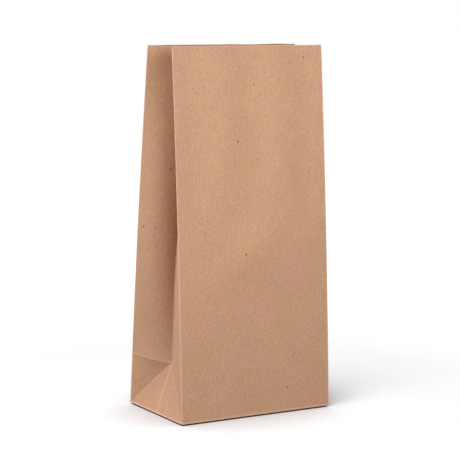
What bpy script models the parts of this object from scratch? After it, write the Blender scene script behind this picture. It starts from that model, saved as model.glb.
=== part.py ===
# Plain kraft grocery sack: one sheet of paper, folded and glued.
# A gusseted tube with a lap seam down the back stands on a folded block bottom.
# Metres, +Z up. Origin at the middle of the base, front panel towards -Y, gussets at -X and +X.

from math import asin, cos, radians, sin, sqrt

import bmesh
import bpy
from mathutils import Vector

# Driving sizes of the sheet and its folds
BAG_WIDTH = 0.212  # front panel, fold to fold
BAG_DEPTH = 0.133  # front to back at the base, and the paper in one gusset
PANEL_LENGTH = 0.453  # paper from the foot to the mouth
PAPER = 0.00015  # sheet thickness
SEAM_LAP = 0.018  # glued lap down the back panel
BOTTOM_LAP = 0.024  # glued lap of the two long bottom flaps

# How the opened sack stands
FRONT_LEAN = 0.0314  # the front panel leans in by this at the mouth
BACK_LEAN = 0.0418  # the back panel leans in by this at the mouth
PANEL_CURVE = radians(2.7)  # a panel is this much steeper at its foot than at its mouth
CREASE_BACK = 0.23  # share of the gusset's slack that pushes its crease backwards
DROP_FADE = 0.45  # share of the crease's drop that is gone at the mouth

# Fine fit of the glued plies
GLUE_BITE = 0.1 * PAPER  # plies glued flat sink into each other by this
SEAM_GLUE = 0.00003  # glue line between the two plies of the back seam
JOGGLE = 0.0015  # length over which a ply steps over the edge of another
FOOT_ROUND = 0.25 * PAPER  # the fold at the foot starts this far above the floor
MITRE_LIMIT = 3.0  # a sharp fold is at most this many thicknesses deep

# Mesh steps
GUSSET_COLUMNS = 8  # columns in each half of a gusset, and rows below its apex
UPPER_ROWS = 16
FRONT_COLUMNS = 6
BACK_COLUMNS = 3  # in each half of the back panel

HALF_DEPTH = BAG_DEPTH / 2  # paper in half a gusset, and the height of the bottom crease
HALF_WIDTH = BAG_WIDTH / 2
FLAP_LENGTH = HALF_DEPTH + BOTTOM_LAP / 2
PLY_PITCH = PAPER - GLUE_BITE
SIDE_FOOT = 2 * PLY_PITCH + FOOT_ROUND  # side flaps lie on two plies

KRAFT_COLOUR = (0.57, 0.34, 0.19, 1.0)
KRAFT_ROUGHNESS = 0.85


def clear_scene():
    for item in list(bpy.data.objects):
        bpy.data.objects.remove(item, do_unlink=True)


def new_collection(name):
    collection = bpy.data.collections.new(name)
    bpy.context.scene.collection.children.link(collection)
    return collection


def kraft_material():
    material = bpy.data.materials.new("kraft_paper")
    material.use_nodes = True
    shader = material.node_tree.nodes["Principled BSDF"]
    shader.inputs["Base Color"].default_value = KRAFT_COLOUR
    shader.inputs["Roughness"].default_value = KRAFT_ROUGHNESS
    shader.inputs["Metallic"].default_value = 0.0
    material.diffuse_color = KRAFT_COLOUR
    return material


# Folded form of the walls. A point on a side wall is (depth in from the side, y, z).

def panel_lean(height, lean):
    # A panel is a shallow arc: returns how far in and how high its paper is at this height
    mean_angle = asin(lean / PANEL_LENGTH) + PANEL_CURVE / 2 * (height / PANEL_LENGTH - 1)
    return height * sin(mean_angle), height * cos(mean_angle)


def front_edge(height):
    inward, up = panel_lean(height, FRONT_LEAN)
    return Vector((0, inward - HALF_DEPTH, FOOT_ROUND + up))


def back_edge(height):
    inward, up = panel_lean(height, BACK_LEAN)
    return Vector((0, HALF_DEPTH - inward, FOOT_ROUND + up))


def apex_drop():
    # The gusset's apex is half a depth of paper away from the side's foot and from both edges
    front, back = front_edge(HALF_DEPTH), back_edge(HALF_DEPTH)
    edge_height = (front.z + back.z) / 2
    half_gap = (back.y - front.y) / 2
    return (edge_height ** 2 - half_gap ** 2) / (2 * edge_height)


def crease_point(height):
    # The front half of a gusset is pulled straight, which puts its crease behind the middle
    front, back = front_edge(height), back_edge(height)
    climb = (height - HALF_DEPTH) / (PANEL_LENGTH - HALF_DEPTH)
    slack = BAG_DEPTH - (back.y - front.y)
    push = CREASE_BACK * 6.75 * climb * (1 - climb) ** 2  # greatest a third of the way up
    reach = HALF_DEPTH - slack * (0.5 - push)
    drop = apex_drop() * (1 - DROP_FADE * climb)
    depth = sqrt(HALF_DEPTH ** 2 - reach ** 2 - drop ** 2)
    return Vector((depth, front.y + reach, (front.z + back.z) / 2 - drop))


def straight(start, end, count):
    return [start.lerp(end, step / count) for step in range(count + 1)]


def bowed(start, end, count):
    # Half a gusset of paper between two points nearer than that bows out as an arc
    chord = end - start
    ratio = min(chord.length / HALF_DEPTH, 1.0)
    half_angle = sqrt(max(10 - sqrt(100 - 120 * (1 - ratio)), 1e-8))  # sin(a) / a = ratio
    outward = Vector((-chord.y, chord.x, 0)).normalized()
    points = []
    for step in range(count + 1):
        angle = half_angle * (2 * step / count - 1)
        along = (sin(angle) / sin(half_angle) + 1) / 2
        bulge = chord.length / 2 * (cos(angle) - cos(half_angle)) / sin(half_angle)
        points.append(start + chord * along + outward * bulge)
    return points


def low_gusset(height):
    # Below the apex the gusset is flat facets: two wedges beside a leaning bottom triangle
    share = height / HALF_DEPTH
    apex = crease_point(HALF_DEPTH)
    middle = Vector((0, 0, SIDE_FOOT)).lerp(apex, share)
    points = []
    for side, edge in ((-1, front_edge(height)), (1, back_edge(height))):
        diagonal = Vector((0, side * HALF_DEPTH, SIDE_FOOT)).lerp(apex, share)
        half = []
        for step in range(GUSSET_COLUMNS + 1):
            across = step / GUSSET_COLUMNS
            if step == 0:
                half.append(edge)
            elif across <= share:
                half.append(edge.lerp(diagonal, across / share))
            else:
                half.append(diagonal.lerp(middle, (across - share) / (1 - share)))
        points.append(half)
    front_half, back_half = points
    return front_half + back_half[-2::-1]


def gusset_section(height):
    # Points from the front edge over the crease to the back edge
    if height <= HALF_DEPTH:
        return low_gusset(height)
    crease = crease_point(height)
    front_half = straight(front_edge(height), crease, GUSSET_COLUMNS)
    return front_half + bowed(crease, back_edge(height), GUSSET_COLUMNS)[1:]


def wall_section(height):
    # Once round the sack from the seam's outer edge to its inner edge, seen from above
    # anticlockwise: back panel, left gusset, front panel, right gusset, back panel
    gusset = gusset_section(height)
    left = [Vector((depth - HALF_WIDTH, y, z)) for depth, y, z in gusset]
    right = [Vector((HALF_WIDTH - depth, y, z)) for depth, y, z in gusset]
    back = back_edge(height)
    seam_outer = Vector((SEAM_LAP / 2, back.y, back.z))
    seam_step = Vector((SEAM_LAP / 2 + JOGGLE, back.y, back.z))
    under = back.y - PAPER - SEAM_GLUE
    seam_under = Vector((SEAM_LAP / 2, under, back.z))
    seam_inner = Vector((-SEAM_LAP / 2, under, back.z))
    ring = straight(seam_outer, left[-1], BACK_COLUMNS)
    ring += left[-2:0:-1]
    ring += straight(left[0], right[0], FRONT_COLUMNS)
    ring += right[1:-1]
    ring += straight(right[-1], seam_step, BACK_COLUMNS)
    ring += [seam_under, seam_inner]
    return ring


def fold_rises():
    # For each column of the wall, whether its folds climb from left to right
    half = [True] * GUSSET_COLUMNS
    back_fold = [False] * GUSSET_COLUMNS
    panels = [True] * (BACK_COLUMNS + 2)
    return [True] * BACK_COLUMNS + half + back_fold + [True] * FRONT_COLUMNS + half + back_fold + panels


def wall_heights():
    low = [HALF_DEPTH * row / GUSSET_COLUMNS for row in range(GUSSET_COLUMNS + 1)]
    rise = (PANEL_LENGTH - HALF_DEPTH) / UPPER_ROWS
    return low + [HALF_DEPTH + rise * (row + 1) for row in range(UPPER_ROWS)]


def inner_face(section):
    # The same section one thickness further in, mitred at its folds
    inner = []
    for place, point in enumerate(section):
        normals = []
        for start, end in zip(section[max(place - 1, 0):place + 1], section[max(place, 1):place + 2]):
            normals.append(Vector((start.y - end.y, end.x - start.x, 0)).normalized())
        mitre = (normals[0] + normals[-1]).normalized()
        reach = min(PAPER / mitre.dot(normals[0]), MITRE_LIMIT * PAPER)
        inner.append(point + mitre * reach)
    return inner


def cell_faces(sheet, low, high, rises):
    # Two triangles of a wall cell, split along the fold that climbs or falls through it
    a, b = low
    d, c = high
    if rises:
        sheet.faces.new((a, b, c))
        sheet.faces.new((a, c, d))
    else:
        sheet.faces.new((a, b, d))
        sheet.faces.new((b, c, d))


def folded_walls(mesh_name):
    # The tube is lofted through its sections, outside and inside, and closed along its cut edges
    sheet = bmesh.new()
    outer, inner = [], []
    for height in wall_heights():
        section = wall_section(height)
        outer.append([sheet.verts.new(point) for point in section])
        inner.append([sheet.verts.new(point) for point in inner_face(section)])
    columns = list(enumerate(fold_rises()))
    for row in range(len(outer) - 1):
        for face, flip in ((outer, False), (inner, True)):
            for column, rises in columns:
                low = face[row][column:column + 2]
                high = face[row + 1][column:column + 2]
                cell_faces(sheet, low[::-1] if flip else low, high[::-1] if flip else high, rises != flip)
        for edge, order in ((0, -1), (-1, 1)):
            rim = [outer[row][edge], inner[row][edge], inner[row + 1][edge], outer[row + 1][edge]]
            sheet.faces.new(rim[::order])
    for row, order in ((0, -1), (-1, 1)):
        for column, _ in columns:
            rim = outer[row][column:column + 2] + inner[row][column:column + 2][::-1]
            sheet.faces.new(rim[::order])
    mesh = bpy.data.meshes.new(mesh_name)
    sheet.to_mesh(mesh)
    sheet.free()
    return mesh


def flat_ply(name, outline, level, collection):
    # A flat ply of the base: its outline on the underside, one thickness deep
    ply = bmesh.new()
    underside = level * PLY_PITCH
    face = ply.faces.new([ply.verts.new((x, y, underside)) for x, y in outline])
    face.normal_update()
    if face.normal.z < 0:
        face.normal_flip()
    mesh = bpy.data.meshes.new(name)
    ply.to_mesh(mesh)
    ply.free()
    item = bpy.data.objects.new(name, mesh)
    item.hide_render = True
    item.display_type = "WIRE"
    solidify = item.modifiers.new("paper", "SOLIDIFY")
    solidify.thickness = PAPER
    solidify.offset = 1
    collection.objects.link(item)


def bottom_plies(collection):
    # Seen from below: long flaps outermost, then the tucked corners, then the side flaps
    inset = PAPER / 2
    side = HALF_WIDTH - inset
    front = -HALF_DEPTH + inset
    back = HALF_DEPTH - inset
    flap_side = HALF_WIDTH - FLAP_LENGTH
    lap = BOTTOM_LAP / 2
    step = lap + JOGGLE
    seam = SEAM_LAP / 2
    front_flap = [(-side, front), (side, front), (flap_side, lap), (-flap_side, lap)]
    step_side = flap_side + lap + step
    back_flap = [(-step_side, step), (step_side, step), (side, back), (-side, back)]
    over = step + JOGGLE
    over_side = flap_side + lap + over
    back_margin = [(-flap_side, -lap), (flap_side, -lap), (over_side, over), (-over_side, over)]
    flat_ply("front_flap", front_flap, 0, collection)
    flat_ply("back_flap", back_flap, 0, collection)
    flat_ply("back_flap_margin", back_margin, 1, collection)
    flat_ply("back_flap_seam", [(-seam, step), (seam, step), (seam, back), (-seam, back)], 1, collection)
    for name, hand in (("left", -1), ("right", 1)):
        rim, free = hand * side, hand * flap_side
        front_corner = [(rim, front), (free, front), (free, -step), (hand * step_side, -step)]
        back_corner = [(rim, back), (free, back), (free, over), (hand * over_side, over)]
        side_flap = [(rim, front), (rim, back), (free, back), (free, front)]
        flat_ply(name + "_front_corner", front_corner, 1, collection)
        flat_ply(name + "_back_corner", back_corner, 1, collection)
        flat_ply(name + "_side_flap", side_flap, 2, collection)


def glue(item, plies):
    union = item.modifiers.new("glued_base", "BOOLEAN")
    union.operation = "UNION"
    union.solver = "EXACT"
    union.operand_type = "COLLECTION"
    union.collection = plies


def build():
    clear_scene()
    parts = new_collection("grocery_bag")
    plies = new_collection("bottom_plies")
    bag = bpy.data.objects.new("paper_bag", folded_walls("paper_bag"))
    bag.data.materials.append(kraft_material())
    parts.objects.link(bag)
    bottom_plies(plies)
    glue(bag, plies)


build()
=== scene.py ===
from math import asin, cos, pi, radians, sin, sqrt

import bpy
import numpy as np
from mathutils import Matrix, Vector


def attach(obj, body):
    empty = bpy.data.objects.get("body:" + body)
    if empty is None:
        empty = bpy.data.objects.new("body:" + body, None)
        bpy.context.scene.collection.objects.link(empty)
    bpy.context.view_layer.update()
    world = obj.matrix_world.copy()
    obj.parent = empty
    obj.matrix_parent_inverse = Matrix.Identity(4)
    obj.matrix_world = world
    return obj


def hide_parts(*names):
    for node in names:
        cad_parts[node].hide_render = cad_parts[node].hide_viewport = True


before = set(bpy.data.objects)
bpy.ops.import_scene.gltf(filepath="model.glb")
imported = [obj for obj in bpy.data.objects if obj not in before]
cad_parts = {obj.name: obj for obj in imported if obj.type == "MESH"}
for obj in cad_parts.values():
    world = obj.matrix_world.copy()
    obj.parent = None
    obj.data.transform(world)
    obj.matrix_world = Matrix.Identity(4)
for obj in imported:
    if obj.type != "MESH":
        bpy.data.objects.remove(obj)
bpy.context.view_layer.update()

# Kraft grocery sack: one sheet, folded as the real one is, on a white studio floor.
# Metres. The sheet has its own flat coordinates: along, once round the tube from the seam,
# and height, up from the fold at the foot.

# Walls of the sack

sheet = {
    "width": 0.212,  # front panel, fold to fold
    "depth": 0.133,  # at the base, and the paper in one gusset
    "panelLength": 0.453,  # foot to mouth
    "paper": 0.00015,
    "frontLean": 0.0314,  # how far the front panel leans in at the mouth
    "backLean": 0.0418,
    "panelCurve": radians(2.7),  # the panels bow out by this angle on their way up
    "creaseBack": 0.23,  # share of a gusset's slack that pushes its crease backwards
    "dropFade": 0.45,  # share of the crease's drop that is gone at the mouth
    "seamLap": 0.018,
    "seamGap": 0.00008,  # glue line in the back seam
    "joggle": 0.0015,  # the lap steps down over this width
    # folds
    "foldRound": 0.00055,  # half width of a rounded fold
    "softDiagonal": 0.010,  # how widely the back diagonals of the foot open out
    "softReach": 0.014,  # and how far from the diagonal it is felt
    "softRoom": 0.6,  # share of the room beside it that the softening may take
    "footRound": 0.0007,  # half width of the rounded fold at the foot
    "footLift": 0.0017,  # the foot's fold springs this far off the floor
    "footSlope": 0.010,  # and the bottom comes down to the floor over this width
    # how finely the sheet is divided
    "gussetColumns": 50,  # in half a gusset, and rows below its apex
    "upperRows": 56,
    "panelColumns": 26,
    "footRows": 9,
    "bowSteps": 16,  # straight pieces in the bowed back half of a gusset
    "nearFold": (0.0003, 0.0006, 0.0010, 0.0020),  # extra lines this close to a fold
    "lowest": 0.0004,  # no plain section is worked out below this height
    "sameLine": 0.0002,  # heights nearer than this count as one
    # swells between the folds
    "ripple": 0.00018,
    "rippleSeed": 11,
    "rippleWaves": 14,
    "rippleLength": (0.05, 0.16),
    "rippleHold": 0.022,  # a fold holds the sheet flat this far out
    # relief of the front and back panels
    "flute": 0.0018,  # half the depth of the flutes
    "fluteWidth": 0.080,  # crest to crest
    "fluteCrest": 0.065,  # where one crest is, from the left fold
    "fluteFoot": 0.21,  # they start at this height
    "fluteGrowth": 0.08,  # and are full this far above it
    "bend": 0.0035,  # soft diagonal bend of the front panel
    "bendLine": ((0.045, 0.156), (0.138, 0.240)),  # across and up the panel
    "bendMiddle": 0.066,  # from the first of those points
    "bendReach": 0.055,
    "bendWidth": 0.024,
    "belly": 0.0044,
    "bellyHeight": 0.20,
    "bellyReach": 0.078,
    "backBelly": 0.5,  # share of it on the back panel
    "edgeRoom": 0.020,  # flutes and bend die out this near to a side fold
    "footRoom": 0.03,  # and all relief this near to the foot
    "footStill": (0.003, 0.012),  # below the first nothing moves, and the next is the blend
    # the fold left from when the sack was flat
    "ridge": 0.0056,  # how far it stands out of a gusset
    "ridgeReach": (0.015, 0.010),  # how quickly it flattens out, below and above the fold
    "dent": 0.0009,  # it goes inward across the back panel
    "dentBlend": 0.025,  # from nothing at the back fold to full
    # pale fold lines, from wear, with painted highlight on the outer folds, the bottom fold and
    # the low creases, and painted bounce light from the floor on the foot: half width of the pale
    # line, how pale, how far above the fold it lies
    # the outer folds' pale line is partly wear and partly a painted highlight
    "foldWearAndHighlight": (0.0010, 1.0, 0),
    "rubbedCrease": (0.0010, 0.4, 0),
    # the low crease's pale line is partly wear and partly a painted highlight
    "lowCreaseWearAndHighlight": (0.0018, 0.4, 0),
    "rubbedDiagonal": (0.0010, 0.3, 0),
    "rubbedApex": 0.5,  # added towards the apex on a back diagonal
    # the bottom fold's pale line, just above the fold, is partly wear and partly a painted
    # highlight
    "bottomFoldWearAndHighlight": (0.0009, 0.9, 0.0006),
    # the foot's pale line is partly wear and partly painted bounce light from the floor
    "footWearAndBounceLight": (0.0011, 0.8, 0.0003),
    "rubbedMouth": (0.0007, 0.7, 0),
    "sharpAngle": radians(72),  # edges sharper than this aren't shaded smooth
}

halfDepth = sheet["depth"] / 2
halfWidth = sheet["width"] / 2
halfBack = halfWidth + sheet["seamLap"] / 2  # from the seam's cut edge to a back fold

# where the vertical folds are along the sheet
backLeft = halfBack
creaseLeft = backLeft + halfDepth
frontLeft = creaseLeft + halfDepth
frontRight = frontLeft + sheet["width"]
creaseRight = frontRight + halfDepth
backRight = creaseRight + halfDepth
sheetWidth = backRight + halfBack

# finishes of a face, in the order of the materials
outerFace, innerFace, cutEdge = 0, 1, 2


def eased(share):
    return share * share * (3 - 2 * share)


def lengths(vectors, least):
    # one length for each vector, kept over a smallest value so that it can divide
    return np.maximum(np.linalg.norm(vectors, axis=-1), least)[..., None]


def panelEdge(height, lean, side):
    # a panel is a shallow arc that leans in: its (0, y, z) at this paper height
    length = sheet["panelLength"]
    angle = asin(lean / length) + sheet["panelCurve"] / 2 * (height / length - 1)
    return np.array((0, side * (halfDepth - height * sin(angle)), height * cos(angle)))


def frontEdge(height):
    return panelEdge(height, sheet["frontLean"], -1)


def backEdge(height):
    return panelEdge(height, sheet["backLean"], 1)


def apexDrop():
    # how far the apex of a gusset hangs below the panels' edges
    front, back = frontEdge(halfDepth), backEdge(halfDepth)
    edgeHeight = (front[2] + back[2]) / 2
    halfGap = (back[1] - front[1]) / 2
    return (edgeHeight ** 2 - halfGap ** 2) / (2 * edgeHeight)


def creasePoint(height):
    # the gusset's inner crease: (depth in from the side, y, z)
    front, back = frontEdge(height), backEdge(height)
    climb = (height - halfDepth) / (sheet["panelLength"] - halfDepth)
    slack = sheet["depth"] - (back[1] - front[1])
    push = sheet["creaseBack"] * 27 / 4 * climb * (1 - climb) ** 2  # most a third of the way up
    reach = halfDepth - slack * (0.5 - push)
    drop = apexDrop() * (1 - sheet["dropFade"] * climb)
    depth = sqrt(halfDepth ** 2 - reach ** 2 - drop ** 2)
    return np.array((depth, front[1] + reach, (front[2] + back[2]) / 2 - drop))


def bowedHalf(start, end, count):
    # the back half of a gusset bows out, because its ends are nearer than its paper is long
    chord = end - start
    length = np.linalg.norm(chord)
    ratio = min(length / halfDepth, 1.0)
    # the arc's half angle, from chord / arc = sin(a) / a and that function's series
    halfAngle = sqrt(max(10 - sqrt(100 - 120 * (1 - ratio)), 1e-8))
    outward = np.array((-chord[1], chord[0], 0)) / np.hypot(chord[0], chord[1])
    angles = np.linspace(-halfAngle, halfAngle, count + 1)[:, None]
    onChord = (np.sin(angles) / sin(halfAngle) + 1) / 2
    bulge = length / 2 * (np.cos(angles) - cos(halfAngle)) / sin(halfAngle)
    return start + chord * onChord + outward * bulge


def gussetKnots(height):
    # paper distances from the front fold, and the sharp-folded points there
    front, back = frontEdge(height), backEdge(height)
    if height < halfDepth:
        apex = creasePoint(halfDepth)
        share = height / halfDepth
        frontFoot, backFoot = np.array((0, -halfDepth, 0)), np.array((0, halfDepth, 0))
        frontDiagonal = frontFoot + (apex - frontFoot) * share
        backDiagonal = backFoot + (apex - backFoot) * share
        places = [0, height, halfDepth, sheet["depth"] - height, sheet["depth"]]
        return places, [front, frontDiagonal, apex * share, backDiagonal, back]
    crease = creasePoint(height)
    count = sheet["bowSteps"]
    places = [0, halfDepth] + [halfDepth * (1 + step / count) for step in range(1, count + 1)]
    return places, [front, crease] + list(bowedHalf(crease, back, count)[1:])


def insideOf(points, thickness):
    # the same sharp section one thickness further in, mitred at its folds
    steps = np.diff(points[:, :2], axis=0)
    normals = np.stack((-steps[:, 1], steps[:, 0]), axis=1)
    normals /= np.linalg.norm(normals, axis=1)[:, None]
    before = np.vstack((normals[:1], normals))
    after = np.vstack((normals, normals[-1:]))
    mitre = before + after
    mitre /= np.linalg.norm(mitre, axis=1)[:, None]
    longest = 3 * thickness
    reach = np.minimum(thickness / np.sum(mitre * before, axis=1), longest)
    inner = points.copy()
    inner[:, :2] += mitre * reach[:, None]
    return inner


def sharpSection(height):
    # once round the sack, anticlockwise from above: places along the sheet, outside, inside
    height = min(max(height, sheet["lowest"]), sheet["panelLength"])
    if abs(height - halfDepth) < sheet["sameLine"]:
        height = halfDepth
    places, gusset = gussetKnots(height)
    places, gusset = np.array(places), np.array(gusset)
    left = gusset - (halfWidth, 0, 0)
    right = gusset * (-1, 1, 1) + (halfWidth, 0, 0)
    _, backY, backZ = backEdge(height)
    lap, joggle = sheet["seamLap"] / 2, sheet["joggle"]
    under = backY - sheet["paper"] - sheet["seamGap"]
    lapStart = sheetWidth - 2 * lap
    along = [[0.0], backLeft + sheet["depth"] - places[::-1], frontRight + places,
             [lapStart - joggle, lapStart, sheetWidth]]
    outside = [[(lap, backY, backZ)], left[::-1], right,
               [(lap + joggle, backY, backZ), (lap, under, backZ), (-lap, under, backZ)]]
    outside = np.vstack(outside)
    return np.concatenate(along), outside, insideOf(outside, sheet["paper"])


def distinct(lines):
    return np.unique(np.round(np.concatenate(lines), 7))


def foldSteps(length, count):
    near = np.array(sheet["nearFold"])
    return distinct((np.linspace(0, length, count + 1), near, length - near))


def sheetColumns():
    half = foldSteps(halfDepth, sheet["gussetColumns"])
    frontPanel = foldSteps(sheet["width"], sheet["panelColumns"])
    backHalf = foldSteps(halfBack, sheet["panelColumns"] // 2)
    lapStart = sheetWidth - sheet["seamLap"]
    return distinct((backHalf, backLeft + half, creaseLeft + half, frontLeft + frontPanel,
                     frontRight + half, creaseRight + half, backRight + backHalf,
                     (lapStart - sheet["joggle"], lapStart)))


def sheetRows():
    # the first rows have heights below 0: they are in the bottom, under the turned foot
    lift, reach = sheet["footLift"], sheet["footRound"]
    under = np.linspace(lift - reach - sheet["footSlope"], lift - reach, sheet["footRows"])
    turned = np.linspace(lift - reach, lift + reach, sheet["footRows"])
    foot = np.concatenate((under, turned, (lift + 2 * reach, lift + 3 * reach)))
    low = foldSteps(halfDepth, sheet["gussetColumns"])
    low = low[low > foot[-1] + sheet["sameLine"]]
    upper = halfDepth + foldSteps(sheet["panelLength"] - halfDepth, sheet["upperRows"])
    return distinct((foot, low, upper))


def softness(height, columns):
    # below the apex the back diagonals soften as they run down to the back corners
    share = min(max(height / halfDepth, 0), 1)
    soft = sheet["softDiagonal"] * (1 - share) * sqrt(share)
    wider = np.zeros(len(columns))
    for backFold, hand in ((backLeft, 1), (backRight, -1)):
        inward = hand * (columns - backFold)
        room = np.clip(np.minimum(inward, halfDepth - inward), 0, None) * sheet["softRoom"]
        opened = soft * np.exp(-((inward - height) / sheet["softReach"]) ** 2)
        wider += np.minimum(opened, room)
    return wider


def roundedSection(height, columns):
    # the sharp section averaged over a small patch of paper, which rounds every fold; the
    # middle of the patch weighs most
    edgeRoom = np.minimum(columns, sheetWidth - columns)
    reaches = np.minimum(sheet["foldRound"] + softness(height, columns), edgeRoom)
    rowReach = min(sheet["foldRound"], sheet["panelLength"] - height)
    outside = np.zeros((len(columns), 3))
    inside = np.zeros((len(columns), 3))
    total = 0
    for rowShift, rowWeight in ((-1, 1), (-0.5, 2), (0, 3), (0.5, 2), (1, 1)):
        along, outer, inner = sharpSection(max(height, 0) + rowShift * rowReach)
        for shift in np.linspace(-1, 1, 9):
            weight = rowWeight * (1.15 - abs(shift))
            places = columns + reaches * shift
            for axis in range(3):
                outside[:, axis] += weight * np.interp(places, along, outer[:, axis])
                inside[:, axis] += weight * np.interp(places, along, inner[:, axis])
            total += weight
    return outside / total, inside / total


def turnFoot(height, outside, inside):
    # the lowest rows turn under, and the bottom slopes down from them to the floor
    lift, reach = sheet["footLift"], sheet["footRound"]
    if height >= lift + reach:
        return outside, inside
    turn = min((lift + reach - height) / (2 * reach), 1.0)
    inset = reach * turn ** 2
    level = lift + reach - reach * turn * (2 - turn)
    if turn == 1.0:
        run = lift - reach - height
        inset += run
        level = lift * (1 + cos(pi * min(run / sheet["footSlope"], 1.0))) / 2
    shift = inside - outside
    rolled = outside * (1 - inset / halfWidth, 1 - inset / halfDepth, 0) + (0, 0, level)
    inner = rolled + shift * cos(turn * pi / 2)
    inner[:, 2] += sheet["paper"] * sin(turn * pi / 2)
    return rolled, inner


def foldDistance(along, height):
    # paper distance to the nearest vertical fold or edge, or to the foot
    folds = (0, backLeft, creaseLeft, frontLeft, frontRight, creaseRight, backRight, sheetWidth)
    near = np.min([np.abs(along - fold) for fold in folds], axis=0)
    return np.minimum(near, np.abs(height))


def rippleOf(along, height):
    # slow swells of the sheet, nothing at a fold
    dice = np.random.default_rng(sheet["rippleSeed"])
    swell = np.zeros(along.shape)
    for wave in range(sheet["rippleWaves"]):
        length = dice.uniform(*sheet["rippleLength"])
        angle = dice.uniform(0, pi)
        phase = dice.uniform(0, 2 * pi)
        swell += np.sin(2 * pi / length * (along * cos(angle) + height * sin(angle)) + phase)
    swell /= 3.2  # the waves add up to about this much
    hold = np.clip(foldDistance(along, height) / sheet["rippleHold"], 0, 1)
    return sheet["ripple"] * swell * eased(hold)


def panelRelief(along, height):
    # the front and back panels aren't quite flat: flutes down from the mouth, a soft
    # diagonal bend in the front, and a belly. Each half of the back swells by its own paper
    # distance, so the two plies of the seam swell differently and cross: not mended yet.
    (startX, startZ), (endX, endZ) = sheet["bendLine"]
    run = np.hypot(endX - startX, endZ - startZ)
    leanX, leanZ = (endX - startX) / run, (endZ - startZ) / run
    aboveFoot = np.clip(height / sheet["footRoom"], 0, 1)
    grown = np.clip((height - sheet["fluteFoot"]) / sheet["fluteGrowth"], 0, 1)
    belly = np.exp(-((height - sheet["bellyHeight"]) / sheet["bellyReach"]) ** 2)
    relief = np.zeros(along.shape)
    for start, width, flutes, bends, bellies in (
            (frontLeft, sheet["width"], 1, 1, 1),
            (backRight, halfBack, -1, 0, sheet["backBelly"]),
            (0, halfBack, 0, 0, sheet["backBelly"])):
        across = np.where((along > start) & (along < start + width), along - start, 0)
        room = eased(np.clip(np.minimum(across, width - across) / sheet["edgeRoom"], 0, 1))
        flute = np.cos(2 * pi * (across - sheet["fluteCrest"]) / sheet["fluteWidth"]) * grown
        besideLine = (across - startX) * leanZ - (height - startZ) * leanX
        alongLine = (across - startX) * leanX + (height - startZ) * leanZ
        bend = np.exp(-(besideLine / sheet["bendWidth"]) ** 2
                      - ((alongLine - sheet["bendMiddle"]) / sheet["bendReach"]) ** 2)
        raised = flutes * sheet["flute"] * flute + bends * sheet["bend"] * bend
        bulge = bellies * sheet["belly"] * belly * np.sin(pi * across / width)
        relief += (room * raised + bulge) * aboveFoot
    return relief


def bottomFold(along, height):
    # the sack was sold flat with its bottom folded up against its back: that fold has not
    # gone, it stands out of the back half of each gusset and dents the back panel
    below, above = sheet["ridgeReach"]
    fade = np.exp(-np.abs(height - halfDepth) / np.where(height < halfDepth, below, above))
    span = np.clip(np.minimum(height, halfDepth), 0.001, None)  # never 0, because it divides
    spring = np.zeros(along.shape)
    for backFold, hand in ((backLeft, 1), (backRight, -1)):
        inward = hand * (along - backFold)
        inGusset = (inward > 0) & (inward < span)
        stands = sheet["ridge"] * np.sin(pi * np.clip(inward / span, 0, 1))
        spring += np.where(inGusset, stands, 0)
        spring -= sheet["dent"] * eased(np.clip(-inward / sheet["dentBlend"], 0, 1))
    return spring * fade


def wearAndHighlightOfFolds(along, height):
    # how pale each point of a fold is, 0 to 1, from wear and from painted highlight and painted
    # bounce light; outer folds rub most
    wearAndHighlight = np.zeros(along.shape)

    def rubAndHighlight(name, distance, where=1, more=0):
        width, pale, above = sheet[name]
        line = np.exp(-((distance - above) / width) ** 2)
        np.maximum(wearAndHighlight, where * (pale + more) * line, out=wearAndHighlight)

    # outer folds: pale from wear and from a painted highlight
    for fold in (backLeft, frontLeft, frontRight, backRight):
        rubAndHighlight("foldWearAndHighlight", along - fold)
    for crease, hand in ((creaseLeft, -1), (creaseRight, 1)):
        backwards = hand * (along - crease)
        sideways = np.abs(backwards)
        rubAndHighlight("rubbedCrease", sideways, height > halfDepth)
        # the low crease: pale from wear and from a painted highlight
        rubAndHighlight("lowCreaseWearAndHighlight", sideways, height < halfDepth)
        diagonal = (halfDepth - height - sideways) * 0.707  # square to the fold
        atFoot = (height < halfDepth + 0.001) & (sideways < halfDepth)
        nearApex = sheet["rubbedApex"] * np.clip(height / halfDepth, 0, 1) * (backwards > 0)
        rubAndHighlight("rubbedDiagonal", diagonal, atFoot, nearApex)
        # the bottom fold: pale from wear and from a painted highlight just above it
        rubAndHighlight("bottomFoldWearAndHighlight", height - halfDepth, backwards > -0.001)  # round the back only
    # the foot: pale from wear and from painted bounce light off the floor
    rubAndHighlight("footWearAndBounceLight", height - sheet["footLift"] - sheet["footRound"])
    rubAndHighlight("rubbedMouth", height - sheet["panelLength"])
    return wearAndHighlight


def swellOf(outside, along, height):
    # how far each point moves: along the sheet's normal, but level for the old bottom fold
    normal = np.cross(np.gradient(outside, axis=1), np.gradient(outside, axis=0))
    normal /= lengths(normal, 1e-12)
    level = normal * (1, 1, 0)
    level /= lengths(level, 0.2)  # stays short where the sheet lies flat
    swell = (rippleOf(along, height) + panelRelief(along, height))[:, :, None] * normal
    swell += bottomFold(along, height)[:, :, None] * level
    still, blend = sheet["footStill"]
    return swell * np.clip((height - still) / blend, 0, 1)[:, :, None]


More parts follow.
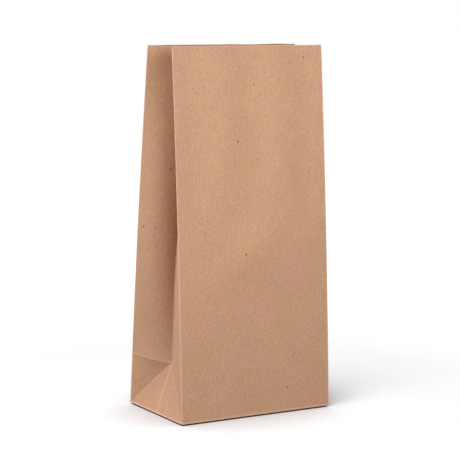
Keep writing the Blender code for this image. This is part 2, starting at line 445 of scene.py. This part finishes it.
def wallFaces(columns, rows):
    grid = np.arange(len(rows) * len(columns)).reshape(len(rows), len(columns))
    shift = grid.size  # from a corner outside to the same one inside
    grid = grid.tolist()
    faces, finishes = [], []

    def addFace(corners, finish):
        faces.append(corners)
        finishes.append(finish)

    for row in range(len(rows) - 1):
        belowApex = rows[row] >= 0 and rows[row + 1] <= halfDepth + 1e-6
        for column in range(len(columns) - 1):
            middle = (columns[column] + columns[column + 1]) / 2
            a, b = grid[row][column], grid[row][column + 1]
            d, c = grid[row + 1][column], grid[row + 1][column + 1]
            # the gussets are split along the diagonal folds of the foot
            rises = backLeft < middle < creaseLeft or frontRight < middle < creaseRight
            falls = creaseLeft < middle < frontLeft or creaseRight < middle < backRight
            if belowApex and rises:
                parts = ((a, b, c), (a, c, d))
            elif belowApex and falls:
                parts = ((a, b, d), (b, c, d))
            else:
                parts = ((a, b, c, d),)
            for part in parts:
                addFace(part, outerFace)
                addFace([corner + shift for corner in part[::-1]], innerFace)
    for column in range(len(columns) - 1):
        for line, turned in ((grid[0], True), (grid[-1], False)):  # foot and mouth
            here, there = line[column], line[column + 1]
            edge = (here, there, there + shift, here + shift)
            addFace(edge[::-1] if turned else edge, cutEdge)
    for row in range(len(rows) - 1):
        for column, turned in ((0, False), (-1, True)):  # the seam's two cut edges
            here, there = grid[row][column], grid[row + 1][column]
            edge = (here, there, there + shift, here + shift)
            addFace(edge[::-1] if turned else edge, cutEdge)
    return faces, finishes


def makePiece(name, points, faces, finishes, flat, wearAndHighlight):
    mesh = bpy.data.meshes.new(name)
    mesh.from_pydata([tuple(point) for point in points], [], faces)
    mesh.polygons.foreach_set("material_index", np.array(finishes, dtype=np.int32))
    mesh.polygons.foreach_set("use_smooth", np.ones(len(faces), dtype=bool))
    paperMap = mesh.uv_layers.new(name="paper")
    corners = np.zeros(len(mesh.loops), dtype=np.int32)
    mesh.loops.foreach_get("vertex_index", corners)
    paperMap.data.foreach_set("uv", flat[corners].astype(np.float32).ravel())
    wearAndHighlightShown = mesh.attributes.new("wearAndHighlight", "FLOAT", "POINT")
    wearAndHighlightShown.data.foreach_set("value", wearAndHighlight.astype(np.float32))
    mesh.set_sharp_from_angle(angle=sheet["sharpAngle"])
    mesh.validate()
    piece = bpy.data.objects.new(name, mesh)
    bpy.context.scene.collection.objects.link(piece)
    return piece


def buildWalls():
    columns, rows = sheetColumns(), sheetRows()
    outside, inside = [], []
    for row in rows:
        outer, inner = turnFoot(row, *roundedSection(row, columns))
        outside.append(outer)
        inside.append(inner)
    outside, inside = np.array(outside), np.array(inside)
    along, height = np.meshgrid(columns, rows)
    swell = swellOf(outside, along, height)
    points = np.vstack(((outside + swell).reshape(-1, 3), (inside + swell).reshape(-1, 3)))
    faces, finishes = wallFaces(columns, rows)
    flat = np.tile(np.stack((along.ravel(), height.ravel()), axis=1), (2, 1))
    wearAndHighlight = np.tile(wearAndHighlightOfFolds(along, height).ravel(), 2)
    return makePiece("bag_walls", points, faces, finishes, flat, wearAndHighlight)


# Folded bottom: long flaps outermost, then the tucked corners, then the side flaps

bottom = {
    "lap": 0.024,  # the two long flaps overlap by this
    "pitch": 0.00017,  # from one ply to the next
    "step": 0.0015,  # each ply's edge stands back from the next by this
    "clear": 0.00002,  # off the floor
    "cells": 12,  # across each ply, both ways
    "onPattern": (0.9, 0.3),  # where the flaps lie on the paper's pattern, and their spacing
}


def bottomPlies():
    # level above the floor, and outline, of each ply
    rim = sheet["footRound"] + sheet["footSlope"]
    side, front = halfWidth - rim, halfDepth - rim
    lap = bottom["lap"] / 2
    flap = halfWidth - halfDepth - lap
    step = lap + bottom["step"]
    stepSide = flap + lap + step
    over = step + bottom["step"]
    overSide = flap + lap + over
    plies = [
        (0, [(-side, -front), (side, -front), (flap, lap), (-flap, lap)]),
        (0, [(-stepSide, step), (stepSide, step), (side, front), (-side, front)]),
        (1, [(-flap, -lap), (flap, -lap), (overSide, over), (-overSide, over)]),
    ]
    for hand in (-1, 1):
        outer, inner = hand * side, hand * flap
        plies += [
            (1, [(outer, -front), (inner, -front), (inner, -step), (hand * stepSide, -step)]),
            (1, [(outer, front), (inner, front), (inner, over), (hand * overSide, over)]),
            (2, [(outer, -front), (outer, front), (inner, front), (inner, -front)]),
        ]
    return plies


def buildBottom():
    cells = bottom["cells"]
    line = cells + 1  # corners in one line of a ply
    size = line ** 2
    shares = np.linspace(0, 1, line)
    ring = list(range(cells))
    ring += [cells + step * line for step in range(cells)]
    ring += [size - 1 - step for step in range(cells)]
    ring += [(cells - step) * line for step in range(cells)]
    shift, spacing = bottom["onPattern"]
    points, faces, finishes, flat = [], [], [], []
    for ply, (level, outline) in enumerate(bottomPlies()):
        a, b, c, d = [np.array(corner) for corner in outline]
        first = len(points)
        for top in (0, 1):
            z = level * bottom["pitch"] + top * sheet["paper"] + bottom["clear"]
            for v in shares:
                for u in shares:
                    x, y = (a * (1 - u) + b * u) * (1 - v) + (d * (1 - u) + c * u) * v
                    points.append((x, y, z))
                    flat.append((shift + x, spacing * ply + y))
        area = (b[0] - a[0]) * (d[1] - a[1]) - (b[1] - a[1]) * (d[0] - a[0])
        turn = 1 if area > 0 else -1  # outlines that run clockwise have their faces turned
        for v in range(cells):
            for u in range(cells):
                corner = first + v * line + u
                under = (corner, corner + line, corner + line + 1, corner + 1)
                above = tuple(size + number for number in under[::-1])
                faces += [under[::turn], above[::turn]]
                finishes += [outerFace, innerFace]
        for here, there in zip(ring, ring[1:] + ring[:1]):
            edge = (first + here, first + there, first + there + size, first + here + size)
            faces.append(edge[::turn])
            finishes.append(cutEdge)
    wearAndHighlight = np.zeros(len(points))
    return makePiece("bag_bottom", np.array(points), faces, finishes, np.array(flat), wearAndHighlight)


# Kraft paper

kraft = {
    "colour": (0.582, 0.333, 0.201),
    "yellower": (0.582, 0.338, 0.194),
    "pinker": (0.584, 0.327, 0.212),
    "plain": 0.35,  # share of the plain colour over the patches
    "wearAndHighlight": (0.86, 0.58, 0.41),
    "speck": (0.16, 0.07, 0.03),
    "roughness": (0.76, 0.90),
    "gloss": 0.3,
    "grain": {  # size along and up the sheet, detail, place in the noise, turned by
        "patch": ((0.022, 0.032), 0.8, 3.1, 0.0),
        "cloud": ((0.045, 0.070), 3.0, 1.7, 0.0),
        "floc": ((0.0026, 0.0034), 3.0, 5.3, 0.0),
        "streak": ((0.0011, 0.022), 2.0, 8.9, 0.0),
        "fibreUp": ((0.0005, 0.0042), 2.0, 2.2, 0.35),
        "fibreAcross": ((0.0042, 0.0005), 2.0, 6.6, 0.25),
    },
    "grainRoughness": 0.55,
    # brightness changes, whole swing
    "cloudSwing": 0.035,
    "swing": {"floc": 0.14, "streak": 0.14, "fibreUp": 0.30, "fibreAcross": 0.21},
    # bark specks: spacing, largest radius, strength, share of the places left empty
    "specks": ((0.034, 0.0015, 0.95, 0.80), (0.012, 0.0006, 0.65, 0.85)),
    "smallSpeck": 0.45,  # share of the largest radius
    "speckEdge": 0.35,
    "wobble": (900.0, 0.0006),  # bends the specks' outlines: how finely, how far
    # tooth of the surface
    "tooth": {"fibreUp": 0.6, "fibreAcross": 0.4, "floc": 1.2, "streak": 0.5},
    "bump": 0.35,
    "bumpHeight": 0.00012,
    "finishes": {  # brightness (the inside's is lowered: painted shade), how much of the wear and painted highlight shows
        "kraftOutside": (1.0, 0.95),
        # the inside is darkened below the paper's own colour: painted shade inside the sack
        "kraftInside": (0.7, 0.3),
        "kraftCutEdge": (1.12, 0.2),
    },
}


def addNode(tree, kind, **values):
    node = tree.nodes.new(kind)
    for name, value in values.items():
        if hasattr(node, name):
            setattr(node, name, value)
        else:
            node.inputs[name].default_value = value
    return node


def paperNoise(tree, paperMap, size, detail, shift, turn):
    # noise with features of this size (along, up the sheet) in metres
    place = addNode(tree, "ShaderNodeMapping", Location=(shift, shift * 0.7, 0),
                    Rotation=(0, 0, turn), Scale=(1 / size[0], 1 / size[1], 1))
    noise = addNode(tree, "ShaderNodeTexNoise", noise_dimensions="2D", Scale=1.0, Detail=detail,
                    Roughness=kraft["grainRoughness"])
    tree.links.new(paperMap, place.inputs["Vector"])
    tree.links.new(place.outputs["Vector"], noise.inputs["Vector"])
    return noise.outputs["Fac"]


def ranged(tree, value, low, high, toLow, toHigh):
    span = addNode(tree, "ShaderNodeMapRange")
    span.inputs["From Min"].default_value = low
    span.inputs["From Max"].default_value = high
    span.inputs["To Min"].default_value = toLow
    span.inputs["To Max"].default_value = toHigh
    tree.links.new(value, span.inputs["Value"])
    return span.outputs["Result"]


def maths(tree, operation, first, second):
    node = addNode(tree, "ShaderNodeMath", operation=operation)
    for place, value in enumerate((first, second)):
        if isinstance(value, (int, float)):
            node.inputs[place].default_value = value
        else:
            tree.links.new(value, node.inputs[place])
    return node.outputs["Value"]


def mixed(tree, share, first, second, blend="MIX"):
    node = addNode(tree, "ShaderNodeMix", data_type="RGBA", blend_type=blend)
    for name, value in ((0, share), (6, first), (7, second)):  # a mix of colours uses these
        if isinstance(value, (int, float)):
            node.inputs[name].default_value = value
        elif isinstance(value, tuple):
            node.inputs[name].default_value = (*value, 1.0)
        else:
            tree.links.new(value, node.inputs[name])
    return node.outputs[2]


def swung(tree, value, low, high, swing):
    # a noise turned into a brightness that swings round 1
    return ranged(tree, value, low, high, 1 - swing / 2, 1 + swing / 2)


def addSpecks(tree, paperMap, colour):
    # dark bark specks, few and of mixed size
    fineness, reach = kraft["wobble"]
    wobble = addNode(tree, "ShaderNodeTexNoise", noise_dimensions="2D", Scale=fineness, Detail=1.0)
    tree.links.new(paperMap, wobble.inputs["Vector"])
    bent = addNode(tree, "ShaderNodeVectorMath", operation="MULTIPLY_ADD")
    bent.inputs[1].default_value = (reach, reach, 0)
    tree.links.new(wobble.outputs["Color"], bent.inputs[0])
    tree.links.new(paperMap, bent.inputs[2])
    for spacing, radius, strength, empty in kraft["specks"]:
        dots = addNode(tree, "ShaderNodeTexVoronoi", voronoi_dimensions="2D", Scale=1 / spacing)
        tree.links.new(bent.outputs["Vector"], dots.inputs["Vector"])
        dice = addNode(tree, "ShaderNodeSeparateColor")
        tree.links.new(dots.outputs["Color"], dice.inputs["Color"])
        largest = radius / spacing
        size = ranged(tree, dice.outputs["Red"], 0.0, 1.0, kraft["smallSpeck"] * largest, largest)
        inside = maths(tree, "SUBTRACT", size, dots.outputs["Distance"])
        share = ranged(tree, inside, 0.0, largest * kraft["speckEdge"], 0.0, strength)
        chosen = maths(tree, "GREATER_THAN", dice.outputs["Green"], empty)
        colour = mixed(tree, maths(tree, "MULTIPLY", share, chosen), colour, kraft["speck"])
    return colour


def kraftPaper(name, shade, wearAndHighlightShown):
    material = bpy.data.materials.new(name)
    material.use_nodes = True
    tree = material.node_tree
    shader = tree.nodes["Principled BSDF"]
    paperMap = addNode(tree, "ShaderNodeUVMap", uv_map="paper").outputs["UV"]
    grain = {kind: paperNoise(tree, paperMap, *facts) for kind, facts in kraft["grain"].items()}

    # colour patches
    patch = ranged(tree, grain["patch"], 0.35, 0.65, 0.0, 1.0)
    colour = mixed(tree, patch, kraft["yellower"], kraft["pinker"])
    colour = mixed(tree, kraft["plain"], colour, kraft["colour"])

    # brightness: slow clouds, flocs of fibre, streaks up the sheet, single fibres
    light = swung(tree, grain["cloud"], 0.3, 0.7, kraft["cloudSwing"])
    for kind, swing in kraft["swing"].items():
        light = maths(tree, "MULTIPLY", light, swung(tree, grain[kind], 0.25, 0.75, swing))
    # each finish's brightness; the inside's lower one is painted shade
    light = maths(tree, "MULTIPLY", light, shade)
    grey = addNode(tree, "ShaderNodeCombineColor")
    for channel in range(3):
        tree.links.new(light, grey.inputs[channel])
    colour = mixed(tree, 1.0, colour, grey.outputs["Color"], "MULTIPLY")

    colour = addSpecks(tree, paperMap, colour)

    # rubbed folds are paler, partly from wear and partly painted highlight, and broken up by the
    # grain
    wearAndHighlight = addNode(tree, "ShaderNodeAttribute", attribute_name="wearAndHighlight")
    rubAndHighlight = ranged(tree, grain["floc"], 0.25, 0.7, 0.65, 1.0)
    rubAndHighlight = maths(tree, "MULTIPLY", maths(tree, "MULTIPLY", wearAndHighlight.outputs["Fac"], rubAndHighlight), wearAndHighlightShown)
    colour = mixed(tree, rubAndHighlight, colour, kraft["wearAndHighlight"])
    tree.links.new(colour, shader.inputs["Base Color"])

    # matt surface with a little tooth
    rough = ranged(tree, grain["floc"], 0.2, 0.8, *kraft["roughness"])
    tree.links.new(rough, shader.inputs["Roughness"])
    shader.inputs["Specular IOR Level"].default_value = kraft["gloss"]
    tooth = 0.0
    for kind, share in kraft["tooth"].items():
        tooth = maths(tree, "ADD", maths(tree, "MULTIPLY", grain[kind], share), tooth)
    bump = addNode(tree, "ShaderNodeBump", Strength=kraft["bump"], Distance=kraft["bumpHeight"])
    tree.links.new(tooth, bump.inputs["Height"])
    tree.links.new(bump.outputs["Normal"], shader.inputs["Normal"])
    return material


walls = buildWalls()
print("walls folded:", len(walls.data.polygons), "faces")
base = buildBottom()
print("bottom folded:", len(base.data.polygons), "faces")

finishes = [kraftPaper(name, *facts) for name, facts in kraft["finishes"].items()]
for piece in (walls, base):
    for finish in finishes:
        piece.data.materials.append(finish)
    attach(piece, "root")
    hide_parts("paper_bag")
print("kraft paper made")


# Studio

studio = {
    "worldLight": 0.03,
    "floorHalf": 6,
    "floorRoughness": 0.9,
    "floorSeen": (0.6, 0.6, 0.62),  # the floor's colour to the camera
    "floorBounce": (0.3, 0.3, 0.3),  # and to the light that it throws back up at the sack
    "floorLift": 0.69,  # makes the floor white where it has no shadow
    "farLift": 1.0,
    "liftRing": (0.38, 0.95),  # from floorLift to farLift between these distances
    "contact": 0.15,  # how far the contact shadow reaches
    "contactRamp": (0.28, 0.89),  # openness of the floor where the lift starts and is full
    "white": (1.0, 1.0, 1.0),
    "warm": (1.0, 0.967, 0.98),
    "lamps": {  # place, aim, size, watts, colour, what it lights
        "nearLamp": ((-0.15, -0.8, 0.45), (0, 0, 0.35), 0.4, 1.36, "white", "sack"),
        "nearLeftLamp": ((-0.35, -0.8, 0.6), (0, 0, 0.35), 0.5, 1.03, "white", "sack"),
        "nearRightLamp": ((0.2, -0.9, 0.7), (0, 0, 0.35), 0.5, 3.95, "white", "sack"),
        "lowLamp": ((-0.4, -2.4, 0.4), (0, 0, 0.25), 1.2, 11.7, "warm", "sack"),
        "leftLamp": ((-2.4, -0.2, 1.0), (0, 0, 0.2), 1.6, 27, "white", "sack"),
        "sideLamp": ((-2.0, 1.2, 1.4), (0, 0, 0.2), 1.4, 15.3, "warm", "sack"),
        "backLamp": ((-1.6, 2.0, 0.6), (0, 0, 0.2), 1.4, 6.2, "warm", "sack"),
        "topLamp": ((-0.3, 0.8, 2.2), (0, 0, 0.2), 2.0, 36, "warm", "sack"),
        "rightLamp": ((2.2, 0.8, 1.2), (0, 0, 0.2), 1.6, 25, "white", "sack"),
        "floorLamp": ((-0.52, -0.3, 1.9), (0, 0, 0.1), 0.8, 22, "white", "floor"),
    },
}


def seenRays(tree):
    # 1 for the rays that show a background: to the camera, in a gloss, through glass
    rays = addNode(tree, "ShaderNodeLightPath")
    seen = maths(tree, "MAXIMUM", rays.outputs["Is Camera Ray"], rays.outputs["Is Glossy Ray"])
    return maths(tree, "MAXIMUM", seen, rays.outputs["Is Transmission Ray"])


def makeWorld():
    world = bpy.data.worlds.new("studio")
    bpy.context.scene.world = world
    world.use_nodes = True
    tree = world.node_tree
    background = tree.nodes["Background"]
    background.inputs["Color"].default_value = (1, 1, 1, 1)
    strength = ranged(tree, seenRays(tree), 0.0, 1.0, studio["worldLight"], 1.0)
    tree.links.new(strength, background.inputs["Strength"])


def floorFinish():
    finish = bpy.data.materials.new("whiteFloor")
    finish.use_nodes = True
    tree = finish.node_tree
    shader = tree.nodes["Principled BSDF"]
    shader.inputs["Roughness"].default_value = studio["floorRoughness"]
    shader.inputs["Specular IOR Level"].default_value = 0.0
    shader.inputs["Emission Color"].default_value = (1, 1, 1, 1)
    seen = seenRays(tree)
    colour = mixed(tree, seen, studio["floorBounce"], studio["floorSeen"])
    tree.links.new(colour, shader.inputs["Base Color"])

    # the lift to white grows away from the middle, and is taken back beside the sack
    place = addNode(tree, "ShaderNodeNewGeometry")
    radius = addNode(tree, "ShaderNodeVectorMath", operation="LENGTH")
    tree.links.new(place.outputs["Position"], radius.inputs[0])
    lift = ranged(tree, radius.outputs["Value"], *studio["liftRing"],
                  studio["floorLift"], studio["farLift"])
    contact = addNode(tree, "ShaderNodeAmbientOcclusion", samples=16, Distance=studio["contact"])
    openness = ranged(tree, contact.outputs["AO"], *studio["contactRamp"], 0.0, 1.0)
    lift = maths(tree, "MULTIPLY", lift, openness)
    tree.links.new(maths(tree, "MULTIPLY", seen, lift), shader.inputs["Emission Strength"])
    return finish


def makeFloor():
    half = studio["floorHalf"]
    mesh = bpy.data.meshes.new("floor")
    corners = [(-half, -half, 0), (half, -half, 0), (half, half, 0), (-half, half, 0)]
    mesh.from_pydata(corners, [], [(0, 1, 2, 3)])
    mesh.materials.append(floorFinish())
    floor = bpy.data.objects.new("floor", mesh)
    bpy.context.scene.collection.objects.link(floor)
    return floor


def makeLamps(lit):
    # each lamp lights only the sack or only the floor
    receivers = {}
    for target, pieces in lit.items():
        receivers[target] = bpy.data.collections.new(target + "Lit")
        for piece in pieces:
            receivers[target].objects.link(piece)
    for name, (place, aim, size, watts, colour, target) in studio["lamps"].items():
        lamp = bpy.data.lights.new(name, "AREA")
        lamp.shape = "DISK"
        lamp.size = size
        lamp.energy = watts
        lamp.color = studio[colour]
        holder = bpy.data.objects.new(name, lamp)
        holder.location = place
        ahead = Vector(aim) - Vector(place)
        holder.rotation_euler = ahead.to_track_quat("-Z", "Y").to_euler()
        holder.light_linking.receiver_collection = receivers[target]
        bpy.context.scene.collection.objects.link(holder)


view = {
    "place": (-1.1130, -1.8535, 0.5230),
    "ahead": (0.50924, 0.84949, -0.13765),
    "roll": 0.0109113,
    "lens": 137.55,
    "sensor": 36,
    "farthest": 60,
}


def makeCamera():
    camera = bpy.data.cameras.new("camera")
    camera.lens = view["lens"]
    camera.sensor_width = view["sensor"]
    camera.clip_end = view["farthest"]
    ahead = Vector(view["ahead"]).normalized()
    right = ahead.cross(Vector((0, 0, 1))).normalized()
    up = right.cross(ahead)
    rolledRight = cos(view["roll"]) * right + sin(view["roll"]) * up
    rolledUp = cos(view["roll"]) * up - sin(view["roll"]) * right
    turn = Matrix((rolledRight, rolledUp, -ahead)).transposed()
    holder = bpy.data.objects.new("camera", camera)
    holder.matrix_world = Matrix.Translation(view["place"]) @ turn.to_4x4()
    bpy.context.scene.collection.objects.link(holder)
    bpy.context.scene.camera = holder


makeWorld()
floor = makeFloor()
makeLamps({"sack": (walls, base), "floor": (floor,)})
makeCamera()
bpy.context.scene.view_settings.view_transform = "Standard"
print("studio lit")
